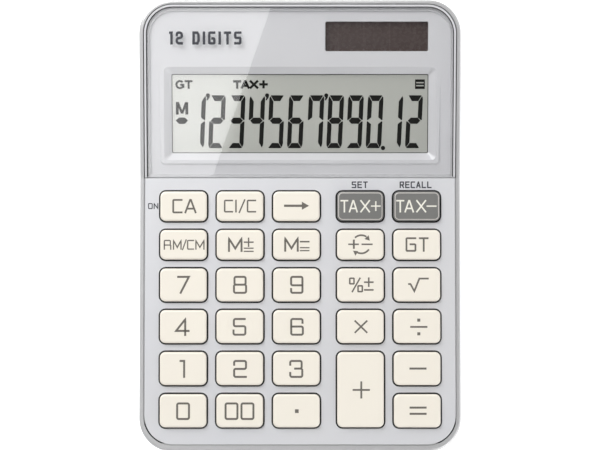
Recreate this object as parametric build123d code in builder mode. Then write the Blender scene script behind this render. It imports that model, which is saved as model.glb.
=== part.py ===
from build123d import *
import math
import os

# Desk calculator, 12 digits, wedge-shaped, with a fixed inclined display panel.
# Millimetres. +Z up, +Y away from the user, +X to the right.
# Origin: centre of the footprint, on the plane that the rubber feet stand on.

os.makedirs("parts", exist_ok=True)

# ---------------------------------------------------------------- dimensions
case_w = 107.6          # overall width
case_l = 149.7          # overall depth in plan
case_r = 11.0           # plan corner radius
wall = 2.0              # casing wall
floor_z = 1.0           # underside of the casing, above the table
floor_t = 1.8           # casing floor thickness
foot_r = 5.0
foot_h = 1.45           # foot thickness, 0.45 of it in its recess

kb_slope = 4.0          # keyboard plane, degrees
dp_slope = 11.0         # display plane, degrees
fold_y, fold_z = 16.36, 16.0   # the line where the two planes meet

parting = 5.2           # depth of the casing parting plane below the keyboard plane
rim_fillet = 0.85       # rounding of the casing's top edge
plate_t = 0.5           # metal face plate
web_top, web_bot = -0.55, -1.75   # keyboard web of the upper case, depth below the keyboard plane

# plan outlines, (half width, front y, rear y, corner radius)
OUTER = (case_w / 2, -case_l / 2, case_l / 2, case_r)
POCKET = (52.42, -72.92, 73.46, 9.9)     # recess for the face plate and the display bezel
PLATE = (52.08, -72.58, 73.15, 9.56)     # face plate and display bezel
WPOCKET = (51.43, -60.0, 72.50, 8.9)     # recess in the bezel for the window
WINDOW = (51.09, -60.0, 72.17, 8.56)
LEDGE = (50.30, -60.0, 71.35, 7.8)       # inside of the ledge that carries the window
INNER = (case_w / 2 - wall, -case_l / 2 + wall, case_l / 2 - wall, case_r - wall)
LIP_OUT = (case_w / 2 - 1.05, -case_l / 2 + 1.05, case_l / 2 - 1.05, case_r - 1.05)
LIP_GAP = (case_w / 2 - 0.95, -case_l / 2 + 0.95, case_l / 2 - 0.95, case_r - 0.95)

# keys: column centres, row centres (along the keyboard plane from the fold), sizes
cols = [-39.0, -20.1, -1.2, 20.2, 39.1]
rows = [-9.55, -22.45, -35.9, -49.8, -63.8, -77.85]
key_w = 15.55
key_h_small = 9.9       # the two function rows
key_h = 11.0            # the four digit rows
plus_y, plus_h = -70.8, 25.0
key_r = 1.8
key_gap = 0.42         # running gap round a key in its hole
key_top = 1.5           # how far a key stands above the face plate
key_bot = -2.5
key_travel = 1.2
flange_dx, flange_dy = 0.975, 0.85   # retaining flange beyond the key body
flange_t = 0.65
pusher_bot = -2.9

# under the keys
mat_top, mat_bot = -4.3, -4.9
pcb_top, pcb_bot = -4.9, -5.9

# display stack, depth below the display plane
win_t = 0.7
ledge_d = -0.8
panel_d = -1.45
bezel_d = -3.8
lcd_x = 43.2
lcd_y0, lcd_y1 = 8.2, 34.8
frame_x, frame_y0, frame_y1 = 47.1, 4.35, 37.2
crest_hi, crest_lo = -0.88, -1.45    # LCD frame crest, at its lower and upper edge
sol_x0, sol_x1, sol_y0, sol_y1 = 8.5, 42.9, 42.4, 52.25

ck, sk = math.cos(math.radians(kb_slope)), math.sin(math.radians(kb_slope))
cd, sd = math.cos(math.radians(dp_slope)), math.sin(math.radians(dp_slope))
kb = Plane(origin=(0, fold_y, fold_z), x_dir=(1, 0, 0), z_dir=(0, -sk, ck))
dp = Plane(origin=(0, fold_y, fold_z), x_dir=(1, 0, 0), z_dir=(0, -sd, cd))


def kpt(y, z):
    """(Y, Z) of a point given along and above the keyboard plane."""
    return (fold_y + y * ck - z * sk, fold_z + y * sk + z * ck)


def dpt(y, z):
    """(Y, Z) of a point given along and above the display plane."""
    return (fold_y + y * cd - z * sd, fold_z + y * sd + z * cd)


def seam(z):
    """Front and rear (Y, Z) of the parting plane, raised by z."""
    return kpt(-100, z - parting), kpt(70, z - parting)


def outline(shape):
    """Draws a plan outline in the current sketch."""
    hw, y0, y1, r = shape
    with Locations((0, (y0 + y1) / 2)):
        RectangleRounded(2 * hw, y1 - y0, r)


def profile(points):
    """Draws a closed side profile in the current sketch."""
    Polygon(*points, align=None)


# key name, column x, row y, height
keys = []
names = [
    ["key_clear_all", "key_clear_entry", "key_right_shift", "key_tax_plus", "key_tax_minus"],
    ["key_memory_recall", "key_memory_plus", "key_memory_minus", "key_sign_change", "key_grand_total"],
    ["key_7", "key_8", "key_9", "key_percent", "key_square_root"],
    ["key_4", "key_5", "key_6", "key_multiply", "key_divide"],
    ["key_1", "key_2", "key_3", None, "key_subtract"],
    ["key_0", "key_double_zero", "key_decimal_point", None, "key_equals"],
]
for r, row in enumerate(names):
    for c, name in enumerate(row):
        if name:
            keys.append((name, cols[c], rows[r], key_h_small if r < 2 else key_h))
keys.append(("key_add", cols[3], plus_y, plus_h))

# fasteners: (x, plan y, height where the two bosses meet)
case_screw_at = [
    (-44.0, -70.13, 4.7), (44.0, -70.13, 4.7),
    (9.5, -26.39, 5.6),
    (-47.5, 62.5, 14.0), (47.5, 62.5, 14.0),
]
pcb_screw_at = [(-49.6, -16.0), (49.6, -16.0), (-49.6, -56.8), (49.6, -56.8), (9.5, -16.0), (9.5, -64.0)]
holder_screw_at = [(-48.6, 8.0), (48.6, 8.0), (-48.6, 34.0), (48.6, 34.0)]

# battery bay
bay_x, cell_y = -20.0, 62.0
door_hw = 9.3
cell_r, cell_h = 5.8, 5.4

# ---------------------------------------------------------------- upper case
with BuildPart() as upper_case:
    with BuildSketch(Plane.XY):
        outline(OUTER)
    extrude(amount=45)
    with BuildSketch(Plane.YZ):
        s0, s1 = seam(0)
        profile([s0, kpt(-100, 0), kpt(0, 0), dpt(75, 0), s1])
    extrude(amount=70, both=True, mode=Mode.INTERSECT)
    # rounded top edge
    tops = upper_case.faces().filter_by(lambda f: f.normal_at().Z > 0.9)
    top_edges = [e for f in tops for e in f.edges()]
    rim_edges = [e for e in top_edges if not (e.length > 80 and abs(e.center().Y - fold_y) < 0.5)]
    fillet(rim_edges, radius=rim_fillet)
    # small shadow chamfer on the parting edge
    low = upper_case.faces().filter_by(lambda f: f.normal_at().Z < -0.9)
    chamfer(low.edges(), length=0.25)
    # recess for the face plate
    with BuildSketch(Plane.XY):
        outline(POCKET)
    extrude(amount=45, mode=Mode.SUBTRACT)
with BuildPart() as web:
    with BuildSketch(Plane.XY):
        outline(POCKET)
    extrude(amount=45)
    with BuildSketch(Plane.YZ):
        s0, s1 = seam(0)
        profile([s0, kpt(-100, web_top), kpt(0, web_top), dpt(0, bezel_d - 0.05), dpt(75, bezel_d - 0.05), s1])
    extrude(amount=70, both=True, mode=Mode.INTERSECT)
with BuildPart() as cavity:
    with BuildSketch(Plane.XY):
        outline(INNER)
    extrude(amount=45)
    with BuildSketch(Plane.YZ):
        s0, s1 = seam(-2)
        profile([s0, kpt(-100, web_bot), kpt(-1.2, web_bot), kpt(-1.2, -5.2), dpt(0, -5.35), dpt(75, -5.35), s1])
    extrude(amount=70, both=True, mode=Mode.INTERSECT)
with BuildPart() as lip_space:
    with BuildSketch(Plane.XY):
        outline(LIP_GAP)
    extrude(amount=45)
    with BuildSketch(Plane.XY):
        outline((INNER[0] - 0.1, INNER[1] + 0.1, INNER[2] - 0.1, INNER[3] - 0.1))
    extrude(amount=45, mode=Mode.SUBTRACT)
    with BuildSketch(Plane.YZ):
        s0, s1 = seam(-2)
        t0, t1 = seam(1.05)
        profile([s0, t0, t1, s1])
    extrude(amount=70, both=True, mode=Mode.INTERSECT)

with BuildPart() as upper_full:
    add(upper_case.part)
    add(web.part)
    add(cavity.part, mode=Mode.SUBTRACT)
    add(lip_space.part, mode=Mode.SUBTRACT)
    # key openings
    for name, x, y, h in keys:
        with BuildSketch(kb.offset(-3.0)):
            with Locations((x, y)):
                RectangleRounded(key_w + 2 * key_gap, h + 2 * key_gap, key_r + key_gap)
        extrude(amount=3.0, mode=Mode.SUBTRACT)
    # openings below the display bezel, for the LCD and for the back of the solar cell
    with BuildSketch(dp.offset(-8.0)):
        with Locations((0, (3.2 + 37.8) / 2)):
            RectangleRounded(92.4, 34.6, 0.6)
        with Locations(((sol_x0 + sol_x1) / 2, (sol_y0 + sol_y1) / 2)):
            RectangleRounded(36.6, 12.2, 0.6)
    extrude(amount=5.0, mode=Mode.SUBTRACT)
    # bosses for the case screws
    for x, y, z in case_screw_at:
        r_boss = 1.75 if x == 9.5 else 2.4
        top = 11.0 if x == 9.5 else (8.0 if y < 0 else 19.2)
        with BuildSketch(Plane.XY.offset(z)):
            with Locations((x, y)):
                Circle(r_boss)
        extrude(amount=top - z + 0.9)
        with BuildSketch(Plane.XY.offset(z)):
            with Locations((x, y)):
                Circle(1.0)
        extrude(amount=3.4, mode=Mode.SUBTRACT)
    # bosses for the circuit board
    for x, y in pcb_screw_at:
        with BuildSketch(kb.offset(pcb_top)):
            with Locations((x, y)):
                Circle(1.5)
        extrude(amount=web_bot - pcb_top + 0.3)
        with BuildSketch(kb.offset(pcb_top)):
            with Locations((x, y)):
                Circle(0.8)
        extrude(amount=1.9, mode=Mode.SUBTRACT)
    # pilot holes and pads for the LCD holder
    for x, y in holder_screw_at:
        with BuildSketch(dp.offset(-5.75)):
            with Locations((x, y)):
                Circle(1.9)
        extrude(amount=0.6)
        with BuildSketch(dp.offset(-5.75)):
            with Locations((x, y)):
                Circle(0.8)
        extrude(amount=1.45, mode=Mode.SUBTRACT)
upper_full.part.label = "upper_case"
export_step(upper_full.part, "parts/upper_case.step")

# ---------------------------------------------------------------- lower case
with BuildPart() as lower_case:
    with BuildSketch(Plane.XY.offset(floor_z)):
        outline(OUTER)
    extrude(amount=40)
    with BuildSketch(Plane.YZ):
        s0, s1 = seam(0)
        profile([(-90, floor_z), s0, s1, (90, floor_z)])
    extrude(amount=70, both=True, mode=Mode.INTERSECT)
    fillet(lower_case.faces().sort_by(Axis.Z)[0].edges(), radius=1.4)
    chamfer(lower_case.faces().filter_by(lambda f: f.normal_at().Z > 0.9).edges(), length=0.25)
with BuildPart() as tub_space:
    with BuildSketch(Plane.XY.offset(floor_z + floor_t)):
        outline(INNER)
    extrude(amount=40)
with BuildPart() as lip:
    with BuildSketch(Plane.XY):
        outline(LIP_OUT)
    extrude(amount=45)
    with BuildSketch(Plane.XY):
        outline(INNER)
    extrude(amount=45, mode=Mode.SUBTRACT)
    with BuildSketch(Plane.YZ):
        s0, s1 = seam(-0.6)
        t0, t1 = seam(0.9)
        profile([s0, t0, t1, s1])
    extrude(amount=70, both=True, mode=Mode.INTERSECT)

with BuildPart() as lower_full:
    add(lower_case.part)
    add(tub_space.part, mode=Mode.SUBTRACT)
    add(lip.part)
    # screw bosses with head recesses
    for x, y, z in case_screw_at:
        with BuildSketch(Plane.XY.offset(floor_z + 0.2)):
            with Locations((x, y)):
                Circle(3.2)
        extrude(amount=z - 0.1 - floor_z - 0.2)
        with BuildSketch(Plane.XY.offset(floor_z - 0.5)):
            with Locations((x, y)):
                Circle(2.3)
        extrude(amount=z - 1.6 - floor_z + 0.5, mode=Mode.SUBTRACT)
        with BuildSketch(Plane.XY.offset(floor_z)):
            with Locations((x, y)):
                Circle(1.3)
        extrude(amount=z, mode=Mode.SUBTRACT)
    # recesses for the feet
    with BuildSketch(Plane.XY.offset(floor_z - 1)):
        with Locations((-42, -54), (42, -54), (-42, 50), (42, 50)):
            Circle(foot_r + 0.15)
    extrude(amount=1.5, mode=Mode.SUBTRACT)
    # recess for the rating label
    with BuildSketch(Plane.XY.offset(floor_z - 1)):
        with Locations((0, 12)):
            RectangleRounded(56.4, 28.4, 1.6)
    extrude(amount=1.25, mode=Mode.SUBTRACT)
    # battery bay block, standing on the floor
    with BuildSketch(Plane.XY.offset(floor_z + 1.0)):
        with Locations((bay_x, (51.0 + 73.2) / 2)):
            Rectangle(24.4, 73.2 - 51.0)
    extrude(amount=8.6)
    # opening for the door plate, with a slot each side for its tongues
    with BuildSketch(Plane.XY.offset(0)):
        with Locations((bay_x, (52.7 + 80) / 2)):
            Rectangle(2 * door_hw + 0.5, 80 - 52.7)
    extrude(amount=floor_z + 1.75, mode=Mode.SUBTRACT)
    with BuildSketch(Plane.XY.offset(floor_z + 0.9)):
        with Locations((bay_x, (54.2 + 80) / 2)):
            Rectangle(2 * door_hw + 2.7, 80 - 54.2)
    extrude(amount=0.85, mode=Mode.SUBTRACT)
    # cell pocket, opening on the door
    with BuildSketch(Plane.XY.offset(floor_z + 1.5)):
        with Locations((bay_x, cell_y)):
            Circle(cell_r + 0.25)
        with Locations((bay_x - 6.2, cell_y - 5.0)):
            Rectangle(2.0, 14.4)
        with Locations((bay_x, cell_y)):
            Rectangle(3.4, 17.6)
    extrude(amount=6.35, mode=Mode.SUBTRACT)
    with BuildSketch(Plane.XY.offset(floor_z + 7.5)):
        with Locations((bay_x, cell_y - 9.5)):
            Rectangle(3.4, 4.6)
    extrude(amount=0.35, mode=Mode.SUBTRACT)
lower_full.part.label = "lower_case"
export_step(lower_full.part, "parts/lower_case.step")

# ---------------------------------------------------------------- battery door
# The door is the piece of floor and rear wall that closes the bay. It slides out to the rear.
with BuildPart() as door_tongues:
    add(lower_case.part)
    with BuildSketch(Plane.XY.offset(floor_z + 1.0)):
        with Locations((bay_x, (54.6 + 80) / 2)):
            Rectangle(2 * door_hw + 2.3, 80 - 54.6)
    extrude(amount=0.65, mode=Mode.INTERSECT)
with BuildPart() as battery_door:
    add(lower_case.part)
    with BuildSketch(Plane.XY):
        with Locations((bay_x, (52.95 + 80) / 2)):
            Rectangle(2 * door_hw, 80 - 52.95)
    extrude(amount=floor_z + 1.65, mode=Mode.INTERSECT)
    add(door_tongues.part)
    # finger ribs cut into the outside
    with BuildSketch(Plane.XY.offset(floor_z - 0.5)):
        with Locations(*[(bay_x, 66.0 + 1.5 * i) for i in range(4)]):
            RectangleRounded(11.0, 0.7, 0.3)
    extrude(amount=0.95, mode=Mode.SUBTRACT)
battery_door.part.label = "battery_door"
export_step(battery_door.part, "parts/battery_door.step")

# ---------------------------------------------------------------- face plate
with BuildPart() as face_plate:
    with BuildSketch(Plane.XY):
        outline(PLATE)
    extrude(amount=45)
    with BuildSketch(Plane.YZ):
        profile([kpt(-100, 0), kpt(-100, -plate_t), kpt(-0.1, -plate_t), kpt(-0.1, 0)])
    extrude(amount=70, both=True, mode=Mode.INTERSECT)
    chamfer(face_plate.faces().filter_by(lambda f: f.normal_at().Z > 0.9).edges(), length=0.16)
    for name, x, y, h in keys:
        with BuildSketch(kb.offset(-1.0)):
            with Locations((x, y)):
                RectangleRounded(key_w + 2 * key_gap, h + 2 * key_gap, key_r + key_gap)
        extrude(amount=2.0, mode=Mode.SUBTRACT)
face_plate.part.label = "face_plate"
export_step(face_plate.part, "parts/face_plate.step")

# ---------------------------------------------------------------- display bezel
# A tray: rim, ledge for the window, panel, and a raised frame round the LCD.
crest_y0 = 5.75
crest_slope = math.atan2(crest_hi - crest_lo, frame_y1 - crest_y0)
with BuildPart() as bezel_shell:
    with BuildSketch(Plane.XY):
        outline(PLATE)
    extrude(amount=45)
    with BuildSketch(Plane.YZ):
        profile([dpt(0.12, bezel_d), dpt(0.12, -0.02), dpt(75, -0.02), dpt(75, bezel_d)])
    extrude(amount=70, both=True, mode=Mode.INTERSECT)
with BuildPart() as window_space:
    with BuildSketch(Plane.XY):
        outline(WPOCKET)
    extrude(amount=45)
    with BuildSketch(Plane.YZ):
        profile([dpt(-2, ledge_d), dpt(-2, 3), dpt(75, 3), dpt(75, ledge_d)])
    extrude(amount=70, both=True, mode=Mode.INTERSECT)
with BuildPart() as panel_space:
    with BuildSketch(Plane.XY):
        outline(LEDGE)
    extrude(amount=45)
    with BuildSketch(Plane.YZ):
        profile([dpt(1.3, panel_d), dpt(1.3, 3), dpt(75, 3), dpt(75, panel_d)])
    extrude(amount=70, both=True, mode=Mode.INTERSECT)
# raised LCD frame, sloping up towards its lower edge
crest_plane = Plane(
    origin=dp.from_local_coords((0, frame_y1, crest_lo)),
    x_dir=(1, 0, 0),
    z_dir=dp.from_local_coords((0, frame_y1 + math.sin(crest_slope), crest_lo + math.cos(crest_slope)))
    - dp.from_local_coords((0, frame_y1, crest_lo)),
)
with BuildPart() as frame_block:
    with BuildSketch(dp.offset(panel_d - 0.2)):
        with Locations((0, (frame_y0 - 0.2 + frame_y1) / 2)):
            RectangleRounded(2 * frame_x + 0.4, frame_y1 - frame_y0 + 0.2, 1.8)
    extrude(amount=1.7, taper=45)
    with BuildSketch(crest_plane):
        Rectangle(120, 90)
    extrude(amount=5, mode=Mode.SUBTRACT)
with BuildPart() as lcd_slopes:
    with BuildSketch(dp.offset(-3.3)):
        with Locations((0, (lcd_y0 + lcd_y1) / 2)):
            RectangleRounded(2 * lcd_x, lcd_y1 - lcd_y0, 0.5)
    with BuildSketch(crest_plane):
        with Locations((0, (crest_y0 - frame_y1) / 2 + 0.1)):
            RectangleRounded(2 * 45.6, frame_y1 - crest_y0 - 0.2, 1.5)
    loft(ruled=True)
with BuildPart() as display_bezel:
    add(bezel_shell.part)
    add(window_space.part, mode=Mode.SUBTRACT)
    add(panel_space.part, mode=Mode.SUBTRACT)
    add(frame_block.part)
    add(lcd_slopes.part, mode=Mode.SUBTRACT)
    with BuildSketch(dp.offset(-4.5)):
        with Locations((0, (lcd_y0 + lcd_y1) / 2)):
            RectangleRounded(2 * lcd_x, lcd_y1 - lcd_y0, 0.5)
        with Locations(((sol_x0 + sol_x1) / 2, (sol_y0 + sol_y1) / 2)):
            RectangleRounded(sol_x1 - sol_x0, sol_y1 - sol_y0, 0.5)
    extrude(amount=3.4, mode=Mode.SUBTRACT)
    with BuildSketch(dp.offset(-4.5)):
        with Locations(((sol_x0 + sol_x1) / 2, (sol_y0 + sol_y1) / 2)):
            RectangleRounded(35.6, 11.1, 0.3)
    extrude(amount=1.6, mode=Mode.SUBTRACT)
    with BuildSketch(dp.offset(panel_d - 0.2)):  # small chamfer round the cell opening
        with Locations(((sol_x0 + sol_x1) / 2, (sol_y0 + sol_y1) / 2)):
            RectangleRounded(sol_x1 - sol_x0, sol_y1 - sol_y0, 0.5)
    extrude(amount=0.25, taper=-45, mode=Mode.SUBTRACT)
display_bezel.part.label = "display_bezel"
export_step(display_bezel.part, "parts/display_bezel.step")

# ---------------------------------------------------------------- window and its adhesive
with BuildPart() as display_window:
    with BuildSketch(Plane.XY):
        outline(WINDOW)
    extrude(amount=45)
    with BuildSketch(Plane.YZ):
        profile([dpt(0.32, -win_t), dpt(0.32, 0), dpt(75, 0), dpt(75, -win_t)])
    extrude(amount=70, both=True, mode=Mode.INTERSECT)
    chamfer(display_window.faces().filter_by(lambda f: f.normal_at().Z > 0.9).edges(), length=0.14)
display_window.part.label = "display_window"
export_step(display_window.part, "parts/display_window.step")

with BuildPart() as window_adhesive:
    with BuildSketch(Plane.XY):
        outline((WINDOW[0] - 0.1, WINDOW[1], WINDOW[2] - 0.1, WINDOW[3]))
    extrude(amount=45)
    with BuildSketch(Plane.XY):
        with Locations((0, (LEDGE[1] + LEDGE[2]) / 2)):
            RectangleRounded(2 * LEDGE[0] + 0.1, LEDGE[2] - LEDGE[1] + 0.1, LEDGE[3])
    extrude(amount=45, mode=Mode.SUBTRACT)
    with BuildSketch(Plane.YZ):
        profile([dpt(1.3, -win_t), dpt(75, -win_t), dpt(75, ledge_d), dpt(1.3, ledge_d)])
    extrude(amount=70, both=True, mode=Mode.INTERSECT)
    with BuildSketch(dp.offset(ledge_d)):
        with Locations((0, 0.87)):
            Rectangle(2 * 50.9, 0.9)
    extrude(amount=-ledge_d - win_t)
window_adhesive.part.label = "window_adhesive"
export_step(window_adhesive.part, "parts/window_adhesive.step")

# ---------------------------------------------------------------- solar cell
with BuildPart() as solar_cell:
    with BuildSketch(dp.offset(-4.0)):
        with Locations(((sol_x0 + sol_x1) / 2, (sol_y0 + sol_y1) / 2)):
            Rectangle(35.4, 10.9)
    extrude(amount=1.1)
solar_cell.part.label = "solar_cell"
export_step(solar_cell.part, "parts/solar_cell.step")

# ---------------------------------------------------------------- LCD stack
with BuildPart() as lcd_front_polarizer:
    with BuildSketch(dp.offset(-4.05)):
        with Locations((0, 21.6)):
            Rectangle(88.6, 28.8)
    extrude(amount=0.2)
lcd_front_polarizer.part.label = "lcd_front_polarizer"
export_step(lcd_front_polarizer.part, "parts/lcd_front_polarizer.step")

with BuildPart() as lcd_front_glass:
    with BuildSketch(dp.offset(-4.75)):
        with Locations((0, (6.5 + 37.0) / 2)):
            Rectangle(91.0, 30.5)
    extrude(amount=0.7)
lcd_front_glass.part.label = "lcd_front_glass"
export_step(lcd_front_glass.part, "parts/lcd_front_glass.step")

with BuildPart() as lcd_rear_glass:
    with BuildSketch(dp.offset(-5.45)):
        with Locations((0, (4.0 + 37.0) / 2)):
            Rectangle(91.0, 33.0)
    extrude(amount=0.7)
lcd_rear_glass.part.label = "lcd_rear_glass"
export_step(lcd_rear_glass.part, "parts/lcd_rear_glass.step")

with BuildPart() as lcd_reflector:
    with BuildSketch(dp.offset(-5.7)):
        with Locations((0, 21.6)):
            Rectangle(88.6, 28.8)
    extrude(amount=0.25)
lcd_reflector.part.label = "lcd_reflector"
export_step(lcd_reflector.part, "parts/lcd_reflector.step")

with BuildPart() as lcd_holder:
    with BuildSketch(dp.offset(-7.25)):
        with Locations((0, (2.8 + 40.8) / 2)):
            RectangleRounded(101.0, 38.0, 1.5)
        with Locations((0, 21.4)):
            RectangleRounded(78.0, 22.0, 1.5, mode=Mode.SUBTRACT)
        with Locations(*holder_screw_at):
            Circle(0.95, mode=Mode.SUBTRACT)
    extrude(amount=1.5)
    with BuildSketch(dp.offset(-8.25)):
        with Locations((0, 21.4)):
            RectangleRounded(81.0, 25.0, 2.0)
            RectangleRounded(78.6, 22.6, 1.5, mode=Mode.SUBTRACT)
    extrude(amount=1.1)
lcd_holder.part.label = "lcd_holder"
export_step(lcd_holder.part, "parts/lcd_holder.step")

# ---------------------------------------------------------------- LCD ribbon
def strip(points, t):
    """Side profile of a thin strip along points, closed."""
    up, down = [], []
    for i, (y, z) in enumerate(points):
        a = points[max(i - 1, 0)]
        b = points[min(i + 1, len(points) - 1)]
        dy, dz = b[0] - a[0], b[1] - a[1]
        n = math.hypot(dy, dz)
        up.append((y - dz / n * t / 2, z + dy / n * t / 2))
        down.append((y + dz / n * t / 2, z - dy / n * t / 2))
    return up + down[::-1]


ribbon_line = [
    dpt(6.2, -4.66), dpt(3.9, -4.66), dpt(3.62, -4.85), dpt(3.5, -5.3), dpt(3.3, -5.56), dpt(2.4, -5.6),
    dpt(0.2, -5.62), dpt(-0.9, -5.6), kpt(-1.9, -5.15), kpt(-2.35, -4.8), kpt(-3.9, -4.8),
]
with BuildPart() as lcd_ribbon:
    with BuildSketch(Plane.YZ):
        profile(strip(ribbon_line, 0.14))
    extrude(amount=31, both=True)
lcd_ribbon.part.label = "lcd_ribbon"
export_step(lcd_ribbon.part, "parts/lcd_ribbon.step")

# ---------------------------------------------------------------- circuit board
with BuildPart() as main_pcb:
    with BuildSketch(kb.offset(pcb_bot)):
        with Locations((0, (-86.4 - 2.6) / 2)):
            RectangleRounded(102.2, 86.4 - 2.6, 2.0)
        with Locations((-44.0, -86.7), (44.0, -86.7)):
            Circle(4.2, mode=Mode.SUBTRACT)
        with Locations((9.5, -42.9)):
            Circle(2.3, mode=Mode.SUBTRACT)
        with Locations(*pcb_screw_at):
            Circle(0.95, mode=Mode.SUBTRACT)
        with Locations((-51.1, -86.4), (51.1, -86.4)):
            Rectangle(8, 8, mode=Mode.SUBTRACT)
    extrude(amount=pcb_top - pcb_bot)
main_pcb.part.label = "main_pcb"
export_step(main_pcb.part, "parts/main_pcb.step")

with BuildPart() as chip_blob:
    with BuildSketch(kb.offset(pcb_bot - 1.4)):
        with Locations((-20, -24)):
            Circle(5.2)
    extrude(amount=1.4)
    fillet(chip_blob.edges().filter_by(GeomType.CIRCLE).sort_by(Axis.Z)[0], radius=1.3)
chip_blob.part.label = "chip_blob"
export_step(chip_blob.part, "parts/chip_blob.step")

with BuildPart() as capacitor:
    with BuildSketch(kb.offset(pcb_bot - 4.6)):
        with Locations((32, -12)):
            Circle(2.0)
    extrude(amount=4.6)
    fillet(capacitor.edges().filter_by(GeomType.CIRCLE).sort_by(Axis.Z)[0], radius=0.4)
capacitor.part.label = "capacitor"
export_step(capacitor.part, "parts/capacitor.step")

with BuildPart() as chip_resistors:
    with BuildSketch(kb.offset(pcb_bot - 0.6)):
        with Locations((-6, -18), (-6, -22), (-6, -26), (-6, -30), (-33, -20), (-33, -26)):
            Rectangle(2.0, 1.25)
    extrude(amount=0.6)
chip_resistors.part.label = "chip_resistors"
export_step(chip_resistors.part, "parts/chip_resistors.step")

# ---------------------------------------------------------------- rubber dome mat and contact pills
dome_at = [(x, y) for _, x, y, _ in keys]
with BuildPart() as dome_mat:
    with BuildSketch(kb.offset(mat_bot)):
        with Locations((0, (-84.0 - 4.2) / 2)):
            RectangleRounded(95.0, 84.0 - 4.2, 2.0)
    extrude(amount=mat_top - mat_bot)
    with BuildSketch(kb.offset(mat_top - 0.1)):
        with Locations(*dome_at):
            Circle(3.7)
    extrude(amount=1.4, taper=40)
    with BuildSketch(kb.offset(mat_bot)):
        with Locations(*dome_at):
            Circle(3.3)
    extrude(amount=1.45, taper=40, mode=Mode.SUBTRACT)
    with BuildSketch(kb.offset(mat_bot - 1)):
        with Locations((9.5, -42.9), (9.5, -16.0), (9.5, -64.0)):
            Circle(2.3)
    extrude(amount=3, mode=Mode.SUBTRACT)
    with BuildSketch(kb.offset(mat_bot - 1)):
        with Locations((-44.0, -86.7), (44.0, -86.7)):
            Circle(3.9)
    extrude(amount=3, mode=Mode.SUBTRACT)
dome_mat.part.label = "dome_mat"
export_step(dome_mat.part, "parts/dome_mat.step")

with BuildPart() as contact_pills:
    with BuildSketch(kb.offset(mat_bot + 1.1)):
        with Locations(*dome_at):
            Circle(1.5)
    extrude(amount=0.35)
contact_pills.part.label = "contact_pills"
export_step(contact_pills.part, "parts/contact_pills.step")

# ---------------------------------------------------------------- screws
with BuildPart() as case_screws:
    for x, y, z in case_screw_at:
        seat = z - 1.6
        with BuildSketch(Plane.XY.offset(seat - 1.3)):
            with Locations((x, y)):
                Circle(2.0)
        extrude(amount=1.25)
        with BuildSketch(Plane.XY.offset(seat - 0.1)):
            with Locations((x, y)):
                Circle(0.95)
        extrude(amount=4.9)
        with BuildSketch(Plane.XY.offset(seat - 1.3)):
            with Locations((x, y)):
                Rectangle(2.2, 0.5)
                Rectangle(0.5, 2.2)
        extrude(amount=0.7, mode=Mode.SUBTRACT)
case_screws.part.label = "case_screws"
export_step(case_screws.part, "parts/case_screws.step")

with BuildPart() as pcb_screws:
    for x, y in pcb_screw_at:
        with BuildSketch(kb.offset(pcb_bot - 0.95)):
            with Locations((x, y)):
                Circle(1.5)
        extrude(amount=0.9)
        with BuildSketch(kb.offset(pcb_bot - 0.1)):
            with Locations((x, y)):
                Circle(0.75)
        extrude(amount=2.6)
        with BuildSketch(kb.offset(pcb_bot - 0.95)):
            with Locations((x, y)):
                Rectangle(1.7, 0.4)
                Rectangle(0.4, 1.7)
        extrude(amount=0.5, mode=Mode.SUBTRACT)
pcb_screws.part.label = "pcb_screws"
export_step(pcb_screws.part, "parts/pcb_screws.step")

with BuildPart() as lcd_holder_screws:
    for x, y in holder_screw_at:
        with BuildSketch(dp.offset(-8.15)):
            with Locations((x, y)):
                Circle(1.5)
        extrude(amount=0.88)
        with BuildSketch(dp.offset(-7.35)):
            with Locations((x, y)):
                Circle(0.75)
        extrude(amount=2.85)
        with BuildSketch(dp.offset(-8.15)):
            with Locations((x, y)):
                Rectangle(1.7, 0.4)
                Rectangle(0.4, 1.7)
        extrude(amount=0.5, mode=Mode.SUBTRACT)
lcd_holder_screws.part.label = "lcd_holder_screws"
export_step(lcd_holder_screws.part, "parts/lcd_holder_screws.step")

# ---------------------------------------------------------------- power
cell_z = floor_z + 1.85
with BuildPart() as button_cell:
    with BuildSketch(Plane.XY.offset(cell_z)):
        with Locations((bay_x, cell_y)):
            Circle(cell_r)
    extrude(amount=cell_h - 0.5)
    fillet(button_cell.edges().filter_by(GeomType.CIRCLE).sort_by(Axis.Z)[0], radius=0.5)
    with BuildSketch(Plane.XY.offset(cell_z + cell_h - 0.6)):
        with Locations((bay_x, cell_y)):
            Circle(4.6)
    extrude(amount=0.6)
button_cell.part.label = "button_cell"
export_step(button_cell.part, "parts/button_cell.step")

with BuildPart() as battery_contact_negative:
    with BuildSketch(Plane.YZ.offset(bay_x)):
        z0 = cell_z + cell_h
        profile([
            (cell_y - 12.2, z0 + 0.4), (cell_y - 6.5, z0 + 0.4), (cell_y - 1.5, z0 + 0.02), (cell_y + 1.5, z0 + 0.02),
            (cell_y + 1.5, z0 + 0.2), (cell_y - 1.4, z0 + 0.2), (cell_y - 6.5, z0 + 0.56), (cell_y - 12.2, z0 + 0.56),
        ])
    extrude(amount=1.3, both=True)
battery_contact_negative.part.label = "battery_contact_negative"
export_step(battery_contact_negative.part, "parts/battery_contact_negative.step")

with BuildPart() as battery_contact_positive:
    with BuildSketch(Plane.XZ.offset(-cell_y + 12.2)):
        profile([
            (bay_x - 7.0, cell_z + 0.6), (bay_x - 6.8, cell_z + 0.6), (bay_x - 6.0, cell_z + 2.6), (bay_x - 6.8, cell_z + 4.4),
            (bay_x - 7.0, cell_z + 4.4), (bay_x - 6.2, cell_z + 2.6),
        ])
    extrude(amount=-13.9)
battery_contact_positive.part.label = "battery_contact_positive"
export_step(battery_contact_positive.part, "parts/battery_contact_positive.step")


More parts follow.
